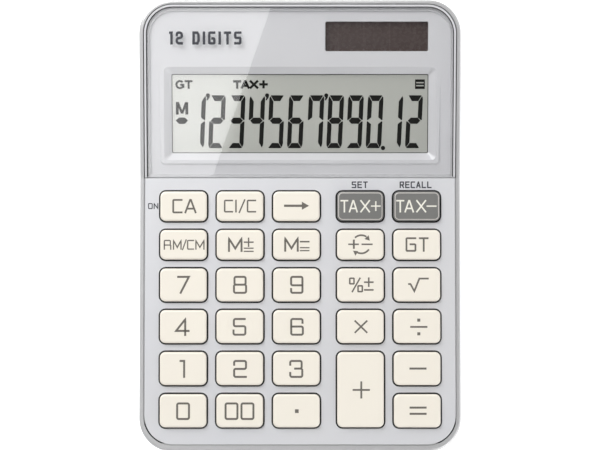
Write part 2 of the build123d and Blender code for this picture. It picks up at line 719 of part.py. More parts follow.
def lead(points, radius):
    """A wire of 0.9 mm along straight runs joined by arcs."""
    with BuildPart() as wire:
        with BuildLine() as route:
            FilletPolyline(*points, radius=radius)
        with BuildSketch(route.wires()[0] ^ 0):
            Circle(0.45)
        sweep()
    return wire.part


pcb_under = fold_z - 8.0 * sk + (pcb_bot - 0.05) * ck
end_y = fold_y - 8.0 * ck - (pcb_bot - 0.05) * sk
leads = []
for x in (14.0, 17.5):
    sy, sz = dpt(47.3, -4.14)
    leads.append(lead([(x, sy, sz), (x, sy, 12.5), (x, 44.0, 8.2), (x, 22.0, 6.6), (x, end_y, 6.0), (x, end_y, pcb_under)], 1.3))
with BuildPart() as solar_leads:
    add(leads)
solar_leads.part.label = "solar_leads"
export_step(solar_leads.part, "parts/solar_leads.step")

leads = []
for x, z0 in ((bay_x - 6.6, cell_z + 2.6), (bay_x, cell_z + cell_h + 0.48)):
    leads.append(lead([(x, 49.3, z0), (x, 43.0, z0), (x, 28.0, 5.0), (x, end_y, 5.4), (x, end_y, pcb_under)], 1.3))
with BuildPart() as battery_leads:
    add(leads)
battery_leads.part.label = "battery_leads"
export_step(battery_leads.part, "parts/battery_leads.step")

# ---------------------------------------------------------------- feet and label
for foot_name, foot_y in (("front_feet", -54.0), ("rear_feet", 50.0)):
    with BuildPart() as feet:
        with BuildSketch(Plane.XY):
            with Locations((-42, foot_y), (42, foot_y)):
                Circle(foot_r)
        extrude(amount=foot_h)
        chamfer(feet.faces().sort_by(Axis.Z)[:2].edges(), length=0.3)
    feet.part.label = foot_name
    export_step(feet.part, "parts/" + foot_name + ".step")

with BuildPart() as rating_label:
    with BuildSketch(Plane.XY.offset(floor_z + 0.05)):
        with Locations((0, 12)):
            RectangleRounded(56.0, 28.0, 1.5)
    extrude(amount=0.18)
rating_label.part.label = "rating_label"
export_step(rating_label.part, "parts/rating_label.step")

# ---------------------------------------------------------------- keys
# Hollow caps with a retaining flange under the web and a centre post on the dome.
for key_name, x, y, h in keys:
    with BuildPart() as key:
        with BuildSketch(kb.offset(key_bot)):
            with Locations((x, y)):
                RectangleRounded(key_w, h, key_r)
        extrude(amount=key_top - key_bot)
        fillet(key.faces().filter_by(lambda f: f.normal_at().Z > 0.9).sort_by(Axis.Z)[-1].edges(), radius=0.75)
        with BuildSketch(kb.offset(key_bot)):
            with Locations((x, y)):
                RectangleRounded(key_w + 2 * flange_dx, h + 2 * flange_dy, key_r + 0.3)
        extrude(amount=flange_t)
        with BuildSketch(kb.offset(key_bot)):
            with Locations((x, y)):
                RectangleRounded(key_w - 2.6, h - 2.6, 1.0)
        extrude(amount=2.9, mode=Mode.SUBTRACT)
        with BuildSketch(kb.offset(pusher_bot)):
            with Locations((x, y)):
                Circle(2.2)
        extrude(amount=3.5)
        if key_name == "key_5":
            # shallow finger dish that marks the home key
            dish_r, dish_d = 4.5, 0.22
            big = (dish_r**2 + dish_d**2) / (2 * dish_d)
            with Locations(kb.from_local_coords((x, y, key_top - dish_d + big))):
                Sphere(big, mode=Mode.SUBTRACT)
    key.part.label = key_name
    export_step(key.part, "parts/" + key_name + ".step")
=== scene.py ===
import math

import bpy
from mathutils import Matrix, Vector


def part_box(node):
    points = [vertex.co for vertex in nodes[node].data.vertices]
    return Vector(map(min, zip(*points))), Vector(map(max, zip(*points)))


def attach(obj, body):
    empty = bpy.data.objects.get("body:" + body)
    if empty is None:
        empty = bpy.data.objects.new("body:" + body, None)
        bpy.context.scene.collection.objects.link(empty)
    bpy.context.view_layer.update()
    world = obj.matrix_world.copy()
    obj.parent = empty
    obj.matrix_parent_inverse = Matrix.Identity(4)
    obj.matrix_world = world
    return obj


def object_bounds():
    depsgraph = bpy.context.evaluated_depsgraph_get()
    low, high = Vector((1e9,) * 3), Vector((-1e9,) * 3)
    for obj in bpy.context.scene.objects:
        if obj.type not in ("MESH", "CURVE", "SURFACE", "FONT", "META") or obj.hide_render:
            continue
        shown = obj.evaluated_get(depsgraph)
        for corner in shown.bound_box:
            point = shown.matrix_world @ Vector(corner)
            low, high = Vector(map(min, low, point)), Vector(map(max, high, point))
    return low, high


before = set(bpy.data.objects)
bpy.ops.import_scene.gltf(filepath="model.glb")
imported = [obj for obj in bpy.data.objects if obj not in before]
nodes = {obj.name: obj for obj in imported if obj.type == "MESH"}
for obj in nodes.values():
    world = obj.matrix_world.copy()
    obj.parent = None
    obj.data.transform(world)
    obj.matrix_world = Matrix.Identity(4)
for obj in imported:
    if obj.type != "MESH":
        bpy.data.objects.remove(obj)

MM = 0.001
cad_lo, cad_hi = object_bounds()
scene = bpy.context.scene
scene.view_settings.view_transform = "Standard"

# ------------------------------------------------------------------ the two working planes
FOLD = Vector((0.0, 16.36, 16.0))
KB, DP = math.radians(4.0), math.radians(11.0)
UP = {"kb": Vector((0, -math.sin(KB), math.cos(KB))), "dp": Vector((0, -math.sin(DP), math.cos(DP)))}
ALONG = {"kb": Vector((0, math.cos(KB), math.sin(KB))), "dp": Vector((0, math.cos(DP), math.sin(DP)))}


def at(plane, x, y, z=0.0):
    """Metres, from millimetres across, along and above one of the two planes."""
    return (FOLD + Vector((x, 0, 0)) + ALONG[plane] * y + UP[plane] * z) * MM


def local(plane, p):
    """Millimetres across, along and above a plane, from a point in metres."""
    d = Vector(p) / MM - FOLD
    return d.x, d.dot(ALONG[plane]), d.dot(UP[plane])


# ------------------------------------------------------------------ material tools
class Nodes:
    """A material's node tree with one Principled shader, and short ways to add to it."""

    def __init__(self, name):
        self.m = bpy.data.materials.new(name)
        self.m.use_nodes = True
        self.t = self.m.node_tree
        self.b = self.t.nodes["Principled BSDF"]
        self.coord = self.new("ShaderNodeTexCoord")

    def new(self, kind, **props):
        n = self.t.nodes.new(kind)
        for k, v in props.items():
            setattr(n, k, v)
        return n

    def link(self, a, b):
        self.t.links.new(a, b)

    def noise(self, scale, detail=2.0, rough=0.5, stretch=None):
        n = self.new("ShaderNodeTexNoise")
        n.inputs["Scale"].default_value = scale
        n.inputs["Detail"].default_value = detail
        n.inputs["Roughness"].default_value = rough
        src = self.coord.outputs["Object"]
        if stretch:
            mp = self.new("ShaderNodeMapping")
            mp.inputs["Scale"].default_value = stretch
            self.link(src, mp.inputs["Vector"])
            src = mp.outputs["Vector"]
        self.link(src, n.inputs["Vector"])
        return n.outputs["Fac"]

    def ramp(self, fac, stops):
        n = self.new("ShaderNodeValToRGB")
        els = n.color_ramp.elements
        while len(els) < len(stops):
            els.new(0.5)
        for e, (pos, col) in zip(els, stops):
            e.position = pos
            e.color = (*col, 1.0) if len(col) == 3 else col
        self.link(fac, n.inputs["Fac"])
        return n.outputs["Color"]

    def spread(self, fac, lo, hi, a=0.3, b=0.7):
        n = self.new("ShaderNodeMapRange")
        for k, v in (("From Min", a), ("From Max", b), ("To Min", lo), ("To Max", hi)):
            n.inputs[k].default_value = v
        self.link(fac, n.inputs["Value"])
        return n.outputs["Result"]

    def mix(self, fac, a, b, kind="MIX"):
        n = self.new("ShaderNodeMix", data_type="RGBA", blend_type=kind)
        if isinstance(fac, float):
            n.inputs[0].default_value = fac
        else:
            self.link(fac, n.inputs[0])
        for sock, v in ((n.inputs[6], a), (n.inputs[7], b)):
            if isinstance(v, (tuple, list)):
                sock.default_value = (*v, 1.0) if len(v) == 3 else v
            else:
                self.link(v, sock)
        return n.outputs[2]

    def math(self, op, a, b=None, c=None):
        n = self.new("ShaderNodeMath", operation=op)
        for i, v in enumerate((a, b, c)):
            if v is None:
                continue
            if isinstance(v, (int, float)):
                n.inputs[i].default_value = v
            else:
                self.link(v, n.inputs[i])
        return n.outputs[0]

    def under_keyboard(self, depth):
        """1 deeper than depth (mm) under the keyboard plane and inside the rim, else 0."""
        sep = self.new("ShaderNodeSeparateXYZ")
        self.link(self.coord.outputs["Object"], sep.inputs[0])
        up, o = UP["kb"], FOLD * MM
        h = self.math("MULTIPLY_ADD", sep.outputs["Z"], up.z, -o.z * up.z - o.y * up.y)
        h = self.math("MULTIPLY_ADD", sep.outputs["Y"], up.y, h)
        deep = self.math("LESS_THAN", h, -depth * MM)
        inside = self.math("LESS_THAN", self.math("ABSOLUTE", sep.outputs["X"]), 0.0520)
        front = self.math("LESS_THAN", self.math("ABSOLUTE", self.math("ADD", sep.outputs["Y"], 0.0283)), 0.0438)
        # the two front corners are rounded, so the outer wall there stays out of it
        corner = self.math("LESS_THAN", self.math("SUBTRACT", self.math("ABSOLUTE", sep.outputs["X"]), self.math("ADD", sep.outputs["Y"], 0.0283)), 0.0929)
        return self.math("MULTIPLY", self.math("MULTIPLY", self.math("MULTIPLY", deep, inside), front), corner)

    def bump(self, height, strength, distance):
        n = self.new("ShaderNodeBump")
        n.inputs["Strength"].default_value = strength
        n.inputs["Distance"].default_value = distance
        self.link(height, n.inputs["Height"])
        self.link(n.outputs["Normal"], self.b.inputs["Normal"])
        return n

    def put(self, **vals):
        for k, v in vals.items():
            sock = self.b.inputs[k.replace("_", " ")]
            if isinstance(v, bpy.types.NodeSocket):
                self.link(v, sock)
            else:
                sock.default_value = (*v, 1.0) if isinstance(v, tuple) and len(v) == 3 else v


def shade(col, k):
    return tuple(min(1.0, c * k) for c in col)


def plastic(name, col, rough=0.45, vary=0.03, grain=2200.0, strength=0.08, depth=0.00003, metal=0.0, coat=0.0,
            coat_rough=0.1, ior=1.48, speck=0.0, shade_below=None, spec=0.5):
    """Moulded or painted surface: slow colour drift, fine grain in roughness and height.
    The depth-and-colour pair gives that colour to all that lies deeper than that under the keyboard plane: painted
    shade for the key gaps, and on the casing also its unpainted dark moulding inside."""
    g = Nodes(name)
    slow = g.noise(45.0, 3.0)
    fine = g.noise(grain, 2.0, 0.6)
    base = g.ramp(slow, [(0.3, shade(col, 1 - vary)), (0.7, shade(col, 1 + vary))])
    if speck:
        flake = g.noise(grain * 2.4, 0.0)
        tint = g.ramp(flake, [(0.35, (1 - speck,) * 3), (0.65, (1.0,) * 3)])
        base = g.mix(1.0, base, tint, "MULTIPLY")
    # painted shade: surfaces deeper than the given depth under the keyboard plane take the dark colour
    if shade_below:
        base = g.mix(g.under_keyboard(shade_below[0]), base, shade_below[1])
    g.put(Base_Color=base, Roughness=g.spread(fine, rough - 0.05, rough + 0.05), Metallic=metal, IOR=ior)
    g.put(Specular_IOR_Level=spec)
    g.put(Coat_Weight=coat, Coat_Roughness=coat_rough)
    g.bump(fine, strength, depth)
    return g.m


def metal(name, col, rough=0.3, brush=(1.0, 60.0, 60.0), scale=60.0, strength=0.1):
    """Bare metal with drawn or turned lines."""
    g = Nodes(name)
    lines = g.noise(scale, 5.0, 0.6, stretch=brush)
    slow = g.noise(90.0, 3.0)
    base = g.ramp(lines, [(0.3, shade(col, 0.9)), (0.7, shade(col, 1.05))])
    base = g.mix(g.spread(slow, 0.0, 0.35), base, shade(col, 0.82))
    g.put(Base_Color=base, Roughness=g.spread(lines, rough - 0.07, rough + 0.09), Metallic=1.0)
    g.bump(lines, strength, 0.00002)
    return g.m


def rubber(name, col, rough=0.75):
    g = Nodes(name)
    fine = g.noise(1500.0, 3.0, 0.7)
    base = g.ramp(g.noise(300.0, 3.0), [(0.3, shade(col, 0.85)), (0.7, shade(col, 1.15))])
    g.put(Base_Color=base, Roughness=g.spread(fine, rough - 0.1, rough + 0.1))
    g.bump(fine, 0.25, 0.00004)
    return g.m


# ------------------------------------------------------------------ materials
MAT = {}
# the casing's web and hole walls under the plate are darkened: painted shade in the key gaps, and the unpainted dark
# moulding inside
MAT["casing"] = plastic("casing_silver", (0.56, 0.56, 0.564), rough=0.38, vary=0.012, metal=0.45, speck=0.05, strength=0.05,
                        shade_below=(0.52, (0.03, 0.03, 0.032)))
MAT["tub"] = plastic("casing_silver_lower", (0.56, 0.565, 0.575), rough=0.5, vary=0.015, metal=0.12, speck=0.05, strength=0.14)

g = Nodes("face_plate_satin")
blast = g.noise(3800.0, 2.0, 0.65)
slow = g.noise(28.0, 2.0)
col = g.ramp(slow, [(0.3, (0.70, 0.705, 0.73)), (0.7, (0.725, 0.725, 0.74))])
col = g.mix(1.0, col, g.ramp(blast, [(0.3, (0.975,) * 3), (0.7, (1.0,) * 3)]), "MULTIPLY")
# painted shade: the walls of the key holes, deeper than 0.05 mm under the plate surface, are darkened to stand for the
# shade in the gaps
col = g.mix(g.under_keyboard(0.05), col, (0.05, 0.05, 0.052))
g.put(Base_Color=col, Metallic=0.45, Roughness=g.spread(blast, 0.44, 0.54))
g.bump(blast, 0.06, 0.00002)
MAT["plate"] = g.m

g = Nodes("bezel_silver_paint")
flake = g.noise(5200.0, 1.0)
col = g.ramp(g.noise(30.0, 2.0), [(0.3, (0.63, 0.63, 0.65)), (0.7, (0.65, 0.65, 0.665))])
col = g.mix(1.0, col, g.ramp(flake, [(0.3, (0.97,) * 3), (0.7, (1.0,) * 3)]), "MULTIPLY")
g.put(Base_Color=col, Metallic=0.30, Roughness=g.spread(flake, 0.50, 0.58))
g.bump(flake, 0.04, 0.00001)
MAT["bezel"] = g.m

# both key colours go dark where they lie deeper than the plate surface: painted shade in the gap round each key
MAT["ivory"] = plastic("key_ivory", (0.79, 0.743, 0.655), rough=0.36, vary=0.010, grain=1800.0, strength=0.05, depth=0.00002,
                       shade_below=(0.0, (0.07, 0.066, 0.06)))
MAT["grey_key"] = plastic("key_dark_grey", (0.163, 0.162, 0.155), rough=0.42, vary=0.02, grain=1800.0, strength=0.05, depth=0.00002,
                          shade_below=(0.0, (0.04, 0.04, 0.038)))
MAT["key_rim"] = plastic("key_rim_line", (0.58, 0.55, 0.515), rough=0.4, vary=0.02)
MAT["ink"] = plastic("legend_ink", (0.145, 0.132, 0.115), rough=0.55, vary=0.05, grain=5000.0, spec=0.25)
MAT["ink_cream"] = plastic("legend_ink_cream", (0.76, 0.74, 0.66), rough=0.55, vary=0.03, grain=5000.0)
MAT["print"] = plastic("panel_ink", (0.06, 0.062, 0.072), rough=0.5, vary=0.06, grain=5000.0, spec=0.25)
MAT["segment"] = plastic("lcd_segment", (0.008, 0.008, 0.007), rough=0.6, vary=0.05, grain=5000.0, spec=0.08)

# window: clear acrylic, reflecting but not bending what is behind it
g = Nodes("acrylic_window")
g.t.nodes.remove(g.b)
out = g.t.nodes["Material Output"]
clear = g.new("ShaderNodeBsdfTransparent")
clear.inputs["Color"].default_value = (1.0, 1.0, 1.0, 1.0)
gloss = g.new("ShaderNodeBsdfGlossy")
gloss.inputs["Color"].default_value = (1.0, 1.0, 1.0, 1.0)
dust = g.spread(g.noise(60.0, 4.0, 0.6), 0.008, 0.02)
g.link(dust, gloss.inputs["Roughness"])
fres = g.new("ShaderNodeFresnel")
fres.inputs["IOR"].default_value = 1.6
geo = g.new("ShaderNodeNewGeometry")
mixer = g.new("ShaderNodeMixShader")
g.link(g.math("MULTIPLY", fres.outputs[0], g.math("SUBTRACT", 1.0, geo.outputs["Backfacing"])), mixer.inputs[0])
g.link(clear.outputs[0], mixer.inputs[1])
g.link(gloss.outputs[0], mixer.inputs[2])
g.link(mixer.outputs[0], out.inputs["Surface"])
MAT["window"] = g.m

# LCD film: greenish grey, with the faint cloudiness of a reflector behind a polarizer
g = Nodes("lcd_polarizer_film")
grain = g.noise(2600.0, 2.0, 0.7)
col = g.ramp(g.noise(24.0, 2.0), [(0.3, (0.510, 0.520, 0.478)), (0.7, (0.530, 0.538, 0.496))])
col = g.mix(1.0, col, g.ramp(grain, [(0.3, (0.97,) * 3), (0.7, (1.0,) * 3)]), "MULTIPLY")
g.put(Base_Color=col, Metallic=0.35, Roughness=g.spread(grain, 0.42, 0.5), Coat_Weight=1.0, Coat_IOR=1.85, Coat_Roughness=0.06)
MAT["film"] = g.m
MAT["reflector"] = plastic("lcd_reflector_foil", (0.62, 0.64, 0.60), rough=0.35, metal=0.8, speck=0.08)

g = Nodes("lcd_glass_edge")
g.put(Base_Color=g.ramp(g.noise(200.0, 2.0), [(0.3, (0.45, 0.55, 0.50)), (0.7, (0.50, 0.60, 0.55))]),
      Roughness=g.spread(g.noise(700.0), 0.04, 0.10), Coat_Weight=0.5, IOR=1.52)
MAT["lcd_glass"] = g.m

# solar cell: dark brown strips in series under glass
g = Nodes("solar_cell_brown")
sep = g.new("ShaderNodeSeparateXYZ")
g.link(g.coord.outputs["Object"], sep.inputs[0])
saw = g.math("FRACT", g.math("MULTIPLY_ADD", sep.outputs["X"], 1000.0 / 8.6, 0.012))
line = g.math("LESS_THAN", g.math("ABSOLUTE", g.math("SUBTRACT", saw, 0.5)), 0.012)
cloud = g.ramp(g.noise(22.0, 2.0), [(0.3, (0.062, 0.044, 0.040)), (0.7, (0.070, 0.053, 0.050))])
col = g.mix(line, cloud, (0.098, 0.078, 0.074))
g.put(Base_Color=col, Roughness=g.spread(g.noise(900.0), 0.22, 0.32), Coat_Weight=0.2, Coat_Roughness=0.06, IOR=1.45)
MAT["solar"] = g.m

# painted shade: the dark colour for strips laid where gaps lie in shade
MAT["shadow"] = plastic("painted_gap_shade", (0.035, 0.035, 0.037), rough=0.7, vary=0.1, spec=0.1)
g = Nodes("adhesive_clear")
g.t.nodes.remove(g.b)
see = g.new("ShaderNodeBsdfTransparent")
milk = g.new("ShaderNodeBsdfDiffuse")
milk.inputs["Color"].default_value = (0.8, 0.8, 0.8, 1.0)
mixer = g.new("ShaderNodeMixShader")
g.link(g.spread(g.noise(400.0), 0.03, 0.08), mixer.inputs[0])
g.link(see.outputs[0], mixer.inputs[1])
g.link(milk.outputs[0], mixer.inputs[2])
g.link(mixer.outputs[0], g.t.nodes["Material Output"].inputs["Surface"])
MAT["adhesive"] = g.m
MAT["holder"] = plastic("holder_black", (0.03, 0.03, 0.032), rough=0.5, strength=0.2)
MAT["screw"] = metal("zinc_screw", (0.62, 0.62, 0.62), rough=0.3, brush=(1, 1, 1), scale=800.0)
MAT["nickel"] = metal("nickel_strip", (0.78, 0.76, 0.72), rough=0.22)
MAT["cell"] = metal("nickel_cell", (0.72, 0.71, 0.69), rough=0.25, brush=(1, 1, 20), scale=300.0)
MAT["foot"] = rubber("foot_rubber", (0.12, 0.12, 0.125))
MAT["mat"] = rubber("dome_mat_silicone", (0.62, 0.64, 0.62), rough=0.5)
MAT["pill"] = rubber("carbon_pill", (0.02, 0.02, 0.02), rough=0.8)
MAT["epoxy"] = plastic("epoxy_black", (0.012, 0.012, 0.012), rough=0.25, strength=0.15)
MAT["resistor"] = plastic("resistor_black", (0.03, 0.03, 0.035), rough=0.4)
MAT["can"] = metal("capacitor_can", (0.72, 0.73, 0.74), rough=0.3)
MAT["wire_w"] = plastic("wire_white", (0.68, 0.68, 0.65), rough=0.5)
MAT["wire_r"] = plastic("wire_red", (0.42, 0.03, 0.02), rough=0.45)

g = Nodes("ribbon_amber")
sep = g.new("ShaderNodeSeparateXYZ")
g.link(g.coord.outputs["Object"], sep.inputs[0])
track = g.math("LESS_THAN", g.math("FRACT", g.math("MULTIPLY", sep.outputs["X"], 1000.0)), 0.5)
g.put(Base_Color=g.mix(track, (0.48, 0.22, 0.05), (0.30, 0.13, 0.03)), Roughness=g.spread(g.noise(500.0), 0.3, 0.4))
MAT["ribbon"] = g.m

g = Nodes("board_green")
cells = g.new("ShaderNodeTexVoronoi", feature="DISTANCE_TO_EDGE", distance="MANHATTAN")
cells.inputs["Scale"].default_value = 260.0
g.link(g.coord.outputs["Object"], cells.inputs["Vector"])
tr = g.math("LESS_THAN", cells.outputs["Distance"], 0.06)
g.put(Base_Color=g.mix(tr, (0.03, 0.13, 0.05), (0.06, 0.22, 0.08)), Roughness=g.spread(g.noise(600.0), 0.35, 0.5), Coat_Weight=0.3)
g.bump(tr, 0.1, 0.00003)
MAT["board"] = g.m

g = Nodes("label_silver_film")
col = g.ramp(g.noise(60.0, 2.0), [(0.3, (0.58, 0.58, 0.59)), (0.7, (0.62, 0.62, 0.63))])
g.put(Base_Color=col, Metallic=0.4, Roughness=g.spread(g.noise(2500.0), 0.35, 0.45))
MAT["label"] = g.m

assign = {
    "upper_case": "casing", "lower_case": "tub", "battery_door": "tub", "face_plate": "plate", "display_bezel": "bezel",
    "display_window": "window", "window_adhesive": "adhesive", "solar_cell": "solar", "solar_leads": "wire_w",
    "lcd_front_glass": "lcd_glass", "lcd_rear_glass": "lcd_glass", "lcd_front_polarizer": "film", "lcd_reflector": "reflector",
    "lcd_holder": "holder", "lcd_holder_screws": "screw", "lcd_ribbon": "ribbon", "main_pcb": "board", "chip_blob": "epoxy",
    "chip_resistors": "resistor", "capacitor": "can", "pcb_screws": "screw", "dome_mat": "mat", "contact_pills": "pill",
    "button_cell": "cell", "battery_contact_positive": "nickel", "battery_contact_negative": "nickel",
    "battery_leads": "wire_r", "case_screws": "screw", "front_feet": "foot", "rear_feet": "foot", "rating_label": "label",
}
for n, o in nodes.items():
    kind = assign.get(n) or ("grey_key" if "tax" in n else "ivory")
    o.data.materials.clear()
    o.data.materials.append(MAT[kind])


# ------------------------------------------------------------------ flat printed shapes
def rounded(pts, r, closed=False, seg=5):
    """A polyline with its corners rounded to radius r."""
    if r <= 0 or len(pts) < 3:
        return list(pts)
    n = len(pts)
    out = []
    for i in range(n):
        if not closed and i in (0, n - 1):
            out.append(pts[i])
            continue
        p, a, b = Vector(pts[i]), Vector(pts[i - 1]), Vector(pts[(i + 1) % n])
        u, v = (a - p), (b - p)
        lu, lv = u.length, v.length
        u.normalize()
        v.normalize()
        half = math.acos(max(-1.0, min(1.0, u.dot(v)))) / 2
        if half > math.radians(88):
            out.append(pts[i])
            continue
        cut = min(r / math.tan(half), lu * 0.49, lv * 0.49)
        rr = cut * math.tan(half)
        c = p + (u + v).normalized() * (rr / math.sin(half))
        s, e = p + u * cut - c, p + v * cut - c
        a0 = math.atan2(s.y, s.x)
        da = math.atan2(s.x * e.y - s.y * e.x, s.dot(e))
        for k in range(seg + 1):
            t = a0 + da * k / seg
            out.append((c.x + rr * math.cos(t), c.y + rr * math.sin(t)))
    return out


def finer(pts, step, closed=False):
    out = []
    n = len(pts)
    for i in range(n if closed else n - 1):
        a, b = pts[i], pts[(i + 1) % n]
        k = max(1, math.ceil(math.dist(a, b) / step))
        out += [(a[0] + (b[0] - a[0]) * j / k, a[1] + (b[1] - a[1]) * j / k) for j in range(k)]
    if not closed:
        out.append(pts[-1])
    return out


def stroke(pts, w, closed=False):
    """Left and right edges of a stroke of width w along pts."""
    n = len(pts)
    left, right = [], []
    for i in range(n):
        p = Vector(pts[i])
        a = Vector(pts[i - 1]) if (closed or i > 0) else None
        b = Vector(pts[(i + 1) % n]) if (closed or i < n - 1) else None
        d1 = (p - a).normalized() if a is not None else (b - p).normalized()
        d2 = (b - p).normalized() if b is not None else d1
        n1, n2 = Vector((-d1.y, d1.x)), Vector((-d2.y, d2.x))
        m = (n1 + n2)
        m = m.normalized() if m.length > 1e-6 else n1
        k = min(1.0 / max(0.3, m.dot(n1)), 2.2) * w / 2
        left.append((p.x + m.x * k, p.y + m.y * k))
        right.append((p.x - m.x * k, p.y - m.y * k))
    return left, right


class Ink:
    """Collects flat shapes, in millimetres on one plane, and makes one thin mesh of them."""

    def __init__(self, plane, height, lift=0.02, sink=0.012, surface=None):
        self.plane, self.h, self.lift, self.sink = plane, height, lift, sink
        self.surface = surface or (lambda x, y: 0.0)
        self.v, self.f = [], []
        self.n = 0   # strokes so far; each sits a hair above the one before, so that faces never coincide

    def _p(self, x, y, z):
        self.v.append(at(self.plane, x, y, self.h + self.surface(x, y) + z))
        return len(self.v) - 1

    def line(self, pts, w, closed=False, r=0.0, step=0.7):
        path = finer(rounded(pts, r, closed), step, closed)
        left, right = stroke(path, w, closed)
        top = self.lift + 0.002 * (self.n % 3)
        self.n += 1
        rows = [(self._p(*a, top), self._p(*b, top), self._p(*b, -self.sink), self._p(*a, -self.sink)) for a, b in zip(left, right)]
        n = len(rows)
        for i in range(n if closed else n - 1):
            a, b = rows[i], rows[(i + 1) % n]
            for k in range(4):
                j = (k + 1) % 4
                self.f.append((a[k], b[k], b[j], a[j])[::-1])
        if not closed:
            self.f.append(rows[0])
            self.f.append(rows[-1][::-1])

    def area(self, pts):
        """A convex filled shape."""
        s = sum(pts[i - 1][0] * pts[i][1] - pts[i][0] * pts[i - 1][1] for i in range(len(pts)))
        if s < 0:
            pts = pts[::-1]
        top = [self._p(*p, self.lift) for p in pts]
        bot = [self._p(*p, -self.sink) for p in pts]
        self.f.append(tuple(top))
        self.f.append(tuple(bot[::-1]))
        for i in range(len(pts)):
            j = (i + 1) % len(pts)
            self.f.append((top[j], top[i], bot[i], bot[j]))

    def disc(self, x, y, r, seg=20):
        self.area([(x + r * math.cos(2 * math.pi * k / seg), y + r * math.sin(2 * math.pi * k / seg)) for k in range(seg)])

    def make(self, name, mat, body):
        me = bpy.data.meshes.new(name)
        me.from_pydata([tuple(p) for p in self.v], [], self.f)
        me.validate()
        me.update()
        o = bpy.data.objects.new(name, me)
        scene.collection.objects.link(o)
        me.materials.append(MAT[mat])
        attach(o, body)
        return o


# strokes of each character: (points, closed, rounding factor), in a box of width 1 and height 1
SQ = 1.0
GLYPH = {
    "0": [([(0, 0), (0, 1), (1, 1), (1, 0)], True, SQ)],
    "1": [([(0, 1), (1, 1), (1, 0)], False, 0)],
    "2": [([(0, 0.76), (0, 1), (1, 1), (1, 0.5), (0, 0.5), (0, 0), (1, 0)], False, SQ)],
    "3": [([(0, 0.76), (0, 1), (0.95, 1), (0.95, 0.52), (0.40, 0.52)], False, SQ), ([(0.40, 0.52), (1, 0.52), (1, 0), (0, 0), (0, 0.25)], False, SQ)],
    "4": [([(1.02, 0.24), (0, 0.24), (0.74, 0.98), (0.74, -0.02)], False, 0)],
    "5": [([(0.95, 1), (0.03, 1), (0.03, 0.54), (1, 0.54), (1, 0), (0, 0), (0, 0.27)], False, SQ)],
    "6": [([(0.97, 0.76), (0.97, 1), (0.03, 1), (0.03, 0), (1, 0), (1, 0.52), (0.03, 0.52)], False, SQ)],
    "7": [([(0, 1), (1, 1), (0.24, 0)], False, 0)],
    "8": [([(0.04, 0.51), (0.04, 1), (0.96, 1), (0.96, 0.51)], True, SQ), ([(0, 0), (0, 0.51), (1, 0.51), (1, 0)], True, SQ)],
    "9": [([(0.98, 0.47), (0.03, 0.47), (0.03, 1), (0.98, 1), (0.98, 0), (0.03, 0), (0.03, 0.24)], False, SQ)],
    "A": [([(0, 0), (0.46, 1), (0.54, 1), (1, 0)], False, 0), ([(0.17, 0.30), (0.83, 0.30)], False, 0)],
    "C": [([(1, 1), (0, 1), (0, 0), (1, 0)], False, 0.5)],
    "D": [([(0, 0), (0, 1), (0.75, 1), (1, 0.75), (1, 0.25), (0.75, 0)], True, 0)],
    "E": [([(1, 1), (0, 1), (0, 0), (1, 0)], False, 0), ([(0, 0.52), (0.9, 0.52)], False, 0)],
    "G": [([(1, 1), (0, 1), (0, 0), (1, 0), (1, 0.52), (0.45, 0.52)], False, 0.5)],
    "I": [([(0.5, 0), (0.5, 1)], False, 0)],
    "L": [([(0, 1), (0, 0), (1, 0)], False, 0)],
    "M": [([(0, 0), (0, 1), (0.5, 0.2), (1, 1), (1, 0)], False, 0)],
    "N": [([(0, 0), (0, 1), (1, 0), (1, 1)], False, 0)],
    "O": [([(0, 0), (0, 1), (1, 1), (1, 0)], True, SQ)],
    "R": [([(0, 0), (0, 1), (0.93, 1), (0.93, 0.47), (0, 0.47)], False, 0.5), ([(0.72, 0.47), (1, 0.47), (1, 0)], False, 0.4)],
    "r": [([(0, 0), (0, 1), (0.96, 1), (0.96, 0.47), (0, 0.47)], False, 0.35), ([(0.5, 0.47), (1, 0)], False, 0)],
    "g": [([(1, 1), (0, 1), (0, 0), (1, 0), (1, 0.46), (0.62, 0.46)], False, 0.5)],
    "S": [([(1, 1), (0, 1), (0, 0.52), (1, 0.52), (1, 0), (0, 0)], False, 0.5)],
    "T": [([(0, 1), (1, 1)], False, 0), ([(0.5, 1), (0.5, 0)], False, 0)],
    "X": [([(0, 0), (1, 1)], False, 0), ([(0, 1), (1, 0)], False, 0)],
    "/": [([(0, -0.06), (1, 1.06)], False, 0)],
    "+": [([(0, 0.5), (1, 0.5)], False, 0), ([(0.5, 0), (0.5, 1)], False, 0)],
    "-": [([(0, 0.5), (1, 0.5)], False, 0)],
}


def glyph(ink, ch, x0, y0, x1, y1, w, r=0.55):
    """Draws a character whose inked outline fills the box from (x0, y0) to (x1, y1)."""
    for pts, closed, k in GLYPH[ch]:
        path = [(x0 + w / 2 + u * (x1 - x0 - w), y0 + w / 2 + v * (y1 - y0 - w)) for u, v in pts]
        if not closed:   # square ends
            for i, j in ((0, 1), (-1, -2)):
                a, b = Vector(path[i]), Vector(path[j])
                path[i] = tuple(a + (a - b).normalized() * (w * 0.46))
        ink.line(path, w, closed, r * k)


PX = 0.3372   # legend sizes are in steps of about a third of a millimetre


def box4(cx, cy, x0, x1, y0, y1, s=PX):
    """Legend box in steps from a key's centre, y down, to millimetres."""
    return cx + x0 * s, cy - y1 * s, cx + x1 * s, cy - y0 * s


KEY_TOP = 1.5
DISH_R, DISH_D = 4.5, 0.22
BIG = (DISH_R**2 + DISH_D**2) / (2 * DISH_D)

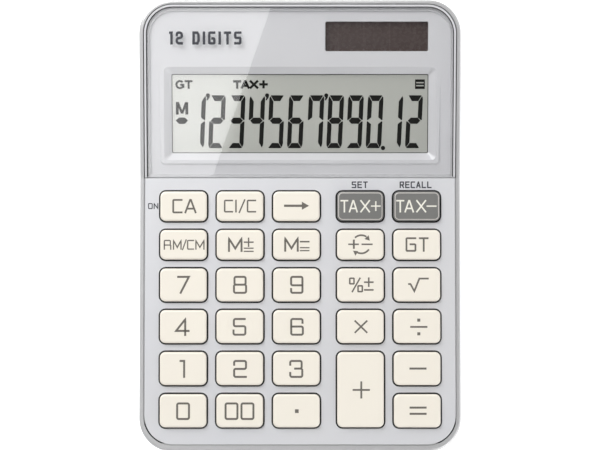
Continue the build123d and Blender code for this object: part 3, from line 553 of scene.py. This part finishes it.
# legends: character, left, right, top, bottom, stroke, from the key's centre, y down
G = {
    "key_clear_all": [("C", -11.1, -0.9, -7.1, 7.1, 1.8), ("A", 1.0, 12.9, -7.1, 7.1, 1.8)],
    "key_clear_entry": [("C", -15.9, -6.8, -6.4, 6.3, 1.5), ("I", -4.7, -3.2, -6.4, 6.3, 1.5), ("/", -1.3, 5.4, -6.3, 6.2, 1.4), ("C", 6.8, 16.1, -6.4, 6.3, 1.5)],
    "key_memory_recall": [("R", -19.5, -11.9, -4.8, 5.0, 1.25), ("M", -10.4, -1.7, -4.8, 5.0, 1.25), ("/", -1.4, 3.3, -4.8, 5.0, 1.2), ("C", 3.6, 10.7, -4.8, 5.0, 1.25), ("M", 11.8, 21.0, -4.8, 5.0, 1.25)],
    "key_grand_total": [("G", -11.3, -0.6, -7.3, 7.0, 1.8), ("T", 1.9, 11.6, -7.3, 7.0, 1.8)],
    "key_7": [("7", -6.1, 6.5, -9.0, 8.8, 2.0)],
    "key_8": [("8", -6.8, 7.2, -9.0, 8.8, 2.0)],
    "key_9": [("9", -6.6, 7.2, -9.0, 8.8, 2.0)],
    "key_4": [("4", -8.0, 6.2, -8.5, 9.0, 2.0)],
    "key_5": [("5", -7.2, 6.5, -8.5, 9.0, 2.0)],
    "key_6": [("6", -6.5, 7.4, -8.5, 9.0, 2.0)],
    "key_1": [("1", -3.5, 2.1, -8.6, 9.1, 2.0)],
    "key_2": [("2", -6.5, 7.2, -8.6, 9.1, 2.0)],
    "key_3": [("3", -7.1, 6.8, -8.6, 9.1, 2.0)],
    "key_0": [("0", -6.7, 7.0, -8.4, 8.9, 2.0)],
    "key_double_zero": [("0", -14.9, -1.2, -8.4, 8.9, 2.0), ("0", 0.8, 14.6, -8.4, 8.9, 2.0)],
    "key_multiply": [("X", -6.1, 7.0, -6.3, 6.5, 1.7)],
    "key_subtract": [("-", -7.8, 9.2, -1.1, 0.9, 2.0)],
    "key_add": [("+", -8.0, 9.3, -8.3, 8.7, 1.85)],
    "key_tax_plus": [("T", -19.8, -11.9, -6.2, 6.3, 1.5), ("A", -11.5, -2.5, -6.2, 6.3, 1.5), ("X", -0.2, 9.7, -6.2, 6.3, 1.5), ("+", 10.5, 20.2, -5.0, 4.8, 1.25)],
    "key_tax_minus": [("T", -20.5, -12.4, -6.2, 6.3, 1.5), ("A", -12.3, -2.8, -6.2, 6.3, 1.5), ("X", -0.7, 9.4, -6.2, 6.3, 1.5), ("-", 9.6, 19.6, -0.7, 0.6, 1.3)],
}
for n in sorted(nodes):
    if not n.startswith("key_"):
        continue
    lo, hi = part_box(n)
    cx = (lo.x + hi.x) / 2 / MM
    # the cap's own centre along the keyboard plane: halfway between its extreme corners
    ys = [local("kb", v.co) for v in nodes[n].data.vertices]
    top = [p for p in ys if p[2] > KEY_TOP - 0.05 or abs(p[2] - KEY_TOP) < 0.3]
    cy = (min(p[1] for p in ys) + max(p[1] for p in ys)) / 2
    body = "keycap_" + n[4:]
    surf = None
    if n == "key_5":
        def surf(x, y, cx=cx, cy=cy):
            d2 = (x - cx) ** 2 + (y - cy) ** 2
            return (BIG - DISH_D) - math.sqrt(BIG * BIG - d2) if d2 < DISH_R**2 else 0.0
    ink = Ink("kb", KEY_TOP, surface=surf)
    for ch, x0, x1, y0, y1, w in G.get(n, []):
        glyph(ink, ch, *box4(cx, cy, x0, x1, y0, y1), w * PX)

    def L(pts, w, closed=False, r=0.0):
        ink.line([(cx + x * PX, cy - y * PX) for x, y in pts], w * PX, closed, r * PX)

    def Q(x, y, s):
        ink.area([(cx + (x + a * s / 2) * PX, cy - (y + b * s / 2) * PX) for a, b in ((-1, -1), (1, -1), (1, 1), (-1, 1))])

    if n == "key_right_shift":
        L([(-12.3, -0.4), (6.0, -0.4)], 2.3)
        ink.area([(cx + x * PX, cy - y * PX) for x, y in ((5.4, -4.4), (12.6, -0.4), (5.4, 3.6))])
    elif n == "key_memory_plus":
        glyph(ink, "M", *box4(cx, cy, -11.8, 2.6, -7.0, 7.2), 1.95 * PX)
        L([(3.8, -2.5), (13.6, -2.5)], 1.4)
        L([(8.6, -7.0), (8.6, 2.2)], 1.4)
        L([(3.8, 3.5), (13.6, 3.5)], 1.2)
        L([(3.8, 6.6), (13.6, 6.6)], 1.2)
    elif n == "key_memory_minus":
        glyph(ink, "M", *box4(cx, cy, -12.1, 2.3, -7.2, 7.0), 1.95 * PX)
        L([(3.4, -3.0), (13.0, -3.0)], 1.5)
        L([(3.4, 3.0), (13.0, 3.0)], 1.2)
        L([(3.4, 5.9), (13.0, 5.9)], 1.2)
    elif n == "key_sign_change":
        L([(-12.0, -0.4), (-1.6, -0.4)], 1.5)
        L([(-6.5, -5.1), (-6.5, 4.1)], 1.9)
        L([(1.1, -0.4), (12.1, -0.4)], 1.5)
        arc = [(0.9 + 9.0 * math.sin(math.radians(t)), -0.4 - 9.0 * math.cos(math.radians(t))) for t in range(-44, 38, 6)]
        L(arc, 1.7)
        ink.area([(cx + x * PX, cy - y * PX) for x, y in ((4.0, -5.6), (8.2, -9.3), (9.3, -4.0))])
        arc = [(0.9 + 9.0 * math.sin(math.radians(t)), -0.4 + 9.0 * math.cos(math.radians(t))) for t in range(-34, 57, 6)]
        L(arc, 1.7)
        ink.area([(cx + x * PX, cy - y * PX) for x, y in ((-7.4, 5.9), (-2.3, 6.4), (-4.9, 10.9))])
    elif n == "key_percent":
        L([(-10.6, -6.6), (-10.6, -1.1), (-6.4, -1.1), (-6.4, -6.6)], 1.55, True, 0.5)
        L([(-2.4, 0.9), (-2.4, 6.6), (1.8, 6.6), (1.8, 0.9)], 1.55, True, 0.5)
        L([(-8.4, 7.2), (-0.2, -7.2)], 1.5)
        L([(3.5, -2.7), (13.0, -2.7)], 1.6)
        L([(8.2, -7.4), (8.2, 2.0)], 1.6)
        L([(3.5, 4.9), (13.0, 4.9)], 1.6)
    elif n == "key_square_root":
        L([(-8.8, -0.9), (-6.5, -0.9), (-2.7, 6.2), (2.3, -6.3), (11.6, -6.3)], 1.75)
    elif n == "key_divide":
        L([(-6.9, 0.3), (10.2, 0.3)], 1.8)
        Q(1.6, -6.4, 3.0)
        Q(1.6, 7.1, 3.0)
    elif n == "key_equals":
        L([(-7.7, -3.3), (9.1, -3.3)], 2.0)
        L([(-7.7, 2.8), (9.1, 2.8)], 2.0)
    elif n == "key_decimal_point":
        Q(0.4, 0.2, 3.7)
    ink.make("legend_" + n[4:], "ink_cream" if "tax" in n else "ink", body)

    if "tax" in n:
        # a thin light line that runs round the rounded edge
        hw, hh, r0, fr = 15.55 / 2, 9.9 / 2, 1.8, 0.75
        verts, faces = [], []
        loops = []
        for d in (0.42, 0.50, 0.58, 0.64):
            # outline inset by d, on the fillet, lifted 0.02 off it
            z = KEY_TOP - fr + math.sqrt(max(0.0, fr * fr - (fr - d) ** 2)) if d < fr else KEY_TOP
            nx = (fr - d) / fr
            nz = (z - (KEY_TOP - fr)) / fr
            ring = []
            rr = r0 - d + 0.02 * nx
            for qx, qy, a0 in ((1, 1, 0), (-1, 1, 90), (-1, -1, 180), (1, -1, 270)):
                for k in range(9):
                    t = math.radians(a0 + 90 * k / 8)
                    x = cx + qx * (hw - r0) + rr * math.cos(t)
                    y = cy + qy * (hh - r0) + rr * math.sin(t)
                    ring.append(len(verts))
                    verts.append(tuple(at("kb", x, y, z + 0.02 * nz)))
            loops.append(ring)
        m = len(loops[0])
        for a, b in zip(loops, loops[1:]):
            for i in range(m):
                j = (i + 1) % m
                faces.append((a[i], a[j], b[j], b[i]))
        me = bpy.data.meshes.new("rim_line_" + n[4:])
        me.from_pydata(verts, [], faces)
        me.update()
        me.shade_smooth()
        ob = bpy.data.objects.new("rim_line_" + n[4:], me)
        scene.collection.objects.link(ob)
        me.materials.append(MAT["key_rim"])
        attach(ob, body)

# labels printed on the face plate
plate = Ink("kb", 0.0, lift=0.012, sink=0.01)


def word(ink, text, x0, x1, y0, y1, w, gap=0.42, narrow=0.35, r=0.2):
    """A word that fills x0 to x1, millimetres."""
    widths = [narrow if c == "I" else (0.5 if c in " 1" else 1.0) for c in text]
    unit = (x1 - x0) / (sum(widths) + gap * (len(text) - 1))
    x = x0
    for c, k in zip(text, widths):
        if c != " ":
            glyph(ink, c, x, y0, x + unit * k, y1, w, r)
        x += unit * (k + gap)


word(plate, "SET", 17.35, 22.75, -3.40, -1.15, 0.42, gap=0.22)
word(plate, "rECALL", 33.45, 44.20, -3.40, -1.15, 0.42, gap=0.22)
word(plate, "ON", -51.0, -47.55, -10.45, -8.45, 0.33, gap=0.22)
plate.make("plate_labels", "print", "casing")

# painted shade: a dark ring laid on the plate round each key opening, standing for the shade on the rounded-over edge
# and in the gap
EDGE_GAP, GAP_SHADE_W = 0.42, 0.15
opening_shade = Ink("kb", 0.0, lift=0.008, sink=0.02)
for n in sorted(nodes):
    if n.startswith("key_"):
        lo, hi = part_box(n)
        cx = (lo.x + hi.x) / 2 / MM
        ys = [p[1] for p in (local("kb", v.co) for v in nodes[n].data.vertices) if p[2] > 0.5]
        cy, hw, hh = (min(ys) + max(ys)) / 2, 15.55 / 2, (max(ys) - min(ys)) / 2
        d = EDGE_GAP + GAP_SHADE_W / 2 - 0.02
        opening_shade.line([(cx - hw - d, cy - hh - d), (cx + hw + d, cy - hh - d), (cx + hw + d, cy + hh + d), (cx - hw - d, cy + hh + d)], GAP_SHADE_W, True, 1.8 + d, step=4.0)
opening_shade.make("key_opening_shade", "shadow", "casing")

# generic mark on the display panel
mark = Ink("dp", 0.0, lift=0.012, sink=0.01)
word(mark, "12 DIgITS", -43.7, -19.5, 44.55, 48.95, 0.86, gap=0.36, narrow=0.36, r=0.7)
mark.make("panel_mark", "print", "casing")

# painted shade: a dark strip laid in the gap between the window and the tray it sits in, standing for the shade down in
# that gap
gap = Ink("dp", -0.10, lift=0.0, sink=0.06)
half, top_y, gr = 51.26, 72.335, 8.73
path = [(-half, FOLD.y + 0.4), (-half, top_y - gr)]
path += [(-half + gr - gr * math.cos(t), top_y - gr + gr * math.sin(t)) for t in [math.radians(5 * k) for k in range(1, 19)]]
path += [(-x, y) for x, y in path[::-1]]
gap.line([(x, (y - FOLD.y) / math.cos(DP)) for x, y in path], 0.32, step=3.0)
gap.make("window_gap_shade", "shadow", "casing")

# ------------------------------------------------------------------ LCD content
LCD_Z = -3.85
lcd = Ink("dp", LCD_Z, lift=0.012, sink=0.004)
W, H, TV, TA, TD, TM = 5.26, 17.8, 1.45, 1.95, 1.75, 2.1
MID, GAP, SL = 9.25, 0.10, math.tan(math.radians(2.6))
Y0 = 9.88
SEG = {
    "a": [(0.42, H - 0.08), (0.62, H), (W - 0.8, H), (W - 0.45, H - 0.1), (W - TV - GAP, H - TA), (TV + GAP, H - TA)],
    "d": [(TV + GAP, TD), (0.40, 0.16), (0.62, 0), (W - 0.8, 0), (W - 0.50, 0.16), (W - TV - GAP, TD)],
    "g": [(0.5, MID), (1.45, MID + TM / 2), (W - 1.45, MID + TM / 2), (W - 0.5, MID), (W - 1.45, MID - TM / 2), (1.45, MID - TM / 2)],
    "f": [(0.35, H - 0.3), (0.1, H - 0.75), (0, H - 1.5), (0, MID + 0.25), (0.35, MID + 0.2), (TV, MID + TM / 2 + 0.1), (TV, H - TA - 0.15)],
    "e": [(0.38, 0.3), (TV, TD + 0.15), (TV, MID - TM / 2 - 0.1), (0.35, MID - 0.2), (0, MID - 0.25), (0, 1.5), (0.1, 0.8)],
    "b": [(W - 0.35, H - 0.25), (W - 0.1, H - 0.7), (W, H - 1.3), (W, MID + 0.3), (W - 0.35, MID + 0.2), (W - TV, MID + TM / 2 + 0.1), (W - TV, H - TA - 0.15)],
    "c": [(W - 0.45, 0.22), (W - TV, TD + 0.15), (W - TV, MID - TM / 2 - 0.1), (W - 0.35, MID - 0.2), (W, MID - 0.3), (W, 1.6), (W - 0.12, 1.0)],
}
FIG = {"0": "abcdef", "1": "bc", "2": "abged", "3": "abgcd", "4": "fgbc", "5": "afgcd", "6": "afgecd", "7": "fabc", "8": "abcdefg", "9": "abcdfg"}
PITCH, X_FIRST = 6.642, -37.66
for k, ch in enumerate("123456789012"):
    x = X_FIRST + PITCH * k
    for s in FIG[ch]:
        lcd.area([(x + px + py * SL, Y0 + py) for px, py in SEG[s]])
for k in (0, 3, 6):
    x = X_FIRST + PITCH * (k + 1) + 0.02
    y = 27.65
    lcd.disc(x - 0.02, y, 0.70, 16)
    lcd.area([(x + 0.68, y), (x + 0.5, y - 0.75), (x - 0.15, y - 1.75), (x - 0.5, y - 1.55), (x - 0.25, y - 0.5), (x - 0.4, y)])
lcd.disc(X_FIRST + PITCH * 9 + 5.9, 9.95, 0.74)
# annunciators
lcd.line([(-40.42 + 1.18 * math.cos(math.radians(a)), 31.27 + 1.18 * math.sin(math.radians(a))) for a in range(42, 325, 12)] + [(-39.28, 30.45), (-39.28, 31.2), (-40.3, 31.2)], 0.68)
glyph(lcd, "T", -38.85, 29.80, -36.15, 32.75, 0.68)
for ch, a, b in (("T", -22.55, -19.75), ("A", -19.95, -16.9), ("X", -17.0, -14.0), ("+", -13.75, -10.8)):
    glyph(lcd, ch, a, 29.85 if ch != "+" else 29.95, b, 32.75, 0.80)
for x in (-41.35, -38.15):
    lcd.line([(x, 21.2), (x, 25.4)], 0.95)
lcd.line([(-41.2, 25.3), (-39.75, 21.6)], 0.80)
lcd.line([(-38.3, 25.3), (-39.75, 21.6)], 0.80)
lcd.area([(-41.95, 19.15), (-40.75, 20.2), (-38.85, 20.2), (-37.75, 19.15), (-38.85, 18.05), (-40.75, 18.05)])
for a, b in ((29.80, 30.72), (31.12, 31.72), (32.12, 33.02)):   # dark box crossed by two light bars
    lcd.area([(38.72, a), (42.02, a), (42.02, b), (38.72, b)])
for a in (38.72, 41.62):
    lcd.area([(a, 29.95), (a + 0.40, 29.95), (a + 0.40, 32.85), (a, 32.85)])
lcd.make("lcd_characters", "segment", "casing")
# painted shade: a dark line round the edge of the LCD opening, standing for the shade cast by the bezel wall
lcd_rim_shade = Ink("dp", LCD_Z, lift=0.010, sink=0.004)
lcd_rim_shade.line([(-43.08, 8.32), (43.08, 8.32), (43.08, 34.68), (-43.08, 34.68)], 0.22, True, 0.4, step=4.0)
lcd_rim_shade.make("lcd_edge_shade", "shadow", "casing")

# ------------------------------------------------------------------ camera
cam_data = bpy.data.cameras.new("camera")
cam_data.lens = 101.476
cam_data.sensor_width = 36.0
cam_data.clip_start = 0.01
cam = bpy.data.objects.new("camera", cam_data)
scene.collection.objects.link(cam)
cam.location = (FOLD + Vector((0.0, -78.608, 562.756))) * MM
cam.rotation_euler = (math.radians(6.36), 0.0, 0.0)
scene.camera = cam

# ------------------------------------------------------------------ floor, lights, surroundings
fm = Nodes("studio_floor")
fm.put(Base_Color=fm.ramp(fm.noise(6.0, 2.0), [(0.3, (0.93, 0.93, 0.93)), (0.7, (0.95, 0.95, 0.95))]), Roughness=0.9)
fm.put(Emission_Color=(1.0, 1.0, 1.0), Emission_Strength=0.5)
me = bpy.data.meshes.new("floor")
R = 4.0
me.from_pydata([(-R, -R, 0), (R, -R, 0), (R, R, 0), (-R, R, 0)], [], [(0, 1, 2, 3)])
me.materials.append(fm.m)
floor = bpy.data.objects.new("floor", me)
scene.collection.objects.link(floor)
floor.location.z = cad_lo.z - 0.0002

world = bpy.data.worlds.new("studio")
scene.world = world
world.use_nodes = True
wt = world.node_tree
bg = wt.nodes["Background"]


def wnode(kind, *ins, **props):
    n = wt.nodes.new(kind)
    for k, v in props.items():
        setattr(n, k, v)
    for i, v in enumerate(ins):
        if isinstance(v, bpy.types.NodeSocket):
            wt.links.new(v, n.inputs[i])
        elif v is not None:
            n.inputs[i].default_value = v
    return n.outputs[0]


tc = wt.nodes.new("ShaderNodeTexCoord")
xyz = wt.nodes.new("ShaderNodeSeparateXYZ")
wt.links.new(tc.outputs["Generated"], xyz.inputs[0])
# dim overhead, bright round the horizon, brightest to the front right
lift = wnode("ShaderNodeMapRange", xyz.outputs["Z"], 0.74, 0.98, 1.0, 0.16, interpolation_type="SMOOTHSTEP")
side = wnode("ShaderNodeMath", wnode("ShaderNodeMath", xyz.outputs["X"], 0.0, operation="MULTIPLY"),
             wnode("ShaderNodeMath", xyz.outputs["Y"], 0.0, operation="MULTIPLY"), operation="ADD")
level = wnode("ShaderNodeMath", side, 0.44, operation="ADD")
power = wnode("ShaderNodeMath", level, lift, operation="MULTIPLY")
# a brighter band low down, to the right and in front
low = wnode("ShaderNodeMapRange", xyz.outputs["Z"], 0.05, 0.38, 1.0, 0.0, interpolation_type="SMOOTHSTEP")
lowside = wnode("ShaderNodeMath", wnode("ShaderNodeMath", xyz.outputs["X"], 2.6, operation="MULTIPLY"),
                wnode("ShaderNodeMath", xyz.outputs["Y"], -2.4, operation="MULTIPLY"), operation="ADD")
low = wnode("ShaderNodeMath", low, wnode("ShaderNodeMath", lowside, 0.0, operation="MAXIMUM"), operation="MULTIPLY")
power = wnode("ShaderNodeMath", power, low, operation="ADD")
bg.inputs["Color"].default_value = (0.985, 0.99, 1.0, 1.0)
wt.links.new(power, bg.inputs["Strength"])


def softbox(name, loc, target, w, h, power, col=(1, 1, 1), roll=0.0):
    d = bpy.data.lights.new(name, "AREA")
    d.shape = "RECTANGLE"
    d.size, d.size_y = w, h
    d.energy = power
    d.color = col
    o = bpy.data.objects.new(name, d)
    scene.collection.objects.link(o)
    o.location = loc
    q = (Vector(loc) - Vector(target)).to_track_quat("Z", "Y")
    o.rotation_mode = "QUATERNION"
    o.rotation_quaternion = q @ Matrix.Rotation(roll, 3, "Z").to_quaternion()
    return o


# a flat panel overhead whose straight edge shows in the window as a slanting glare
def overhead(name, edge_a, edge_b, z, width, extra, radiance):
    a, b = Vector((*edge_a, z)), Vector((*edge_b, z))
    along = (b - a).normalized()
    across = Vector((-along.y, along.x, 0))
    if across.x > 0:
        across = -across
    length = (b - a).length + 2 * extra
    c = (a + b) / 2 + across * (width / 2)
    d = bpy.data.lights.new(name, "AREA")
    d.shape = "RECTANGLE"
    d.size, d.size_y = width, length
    d.energy = radiance * math.pi * width * length
    o = bpy.data.objects.new(name, d)
    scene.collection.objects.link(o)
    m = Matrix((across, along, across.cross(along))).transposed()
    if m.col[2].z < 0:
        m = Matrix((-across, along, (-across).cross(along))).transposed()
    o.matrix_world = Matrix.Translation(c) @ m.to_4x4()
    return o


overhead("glare_panel", (-0.030, -0.099), (-0.093, -0.280), 1.2, 0.22, 0.08, 2.7)
softbox("key_back_left", (-0.42, 0.54, 0.66), (0, 0, 0), 0.7, 0.7, 10.2)
softbox("fill_right", (1.2, 0.5, 1.0), (0, 0, 0), 0.9, 0.9, 1.4)
softbox("fill_low", (0.20, -0.25, 0.13), (0.05, -0.06, 0.0), 0.14, 0.14, 0.19)
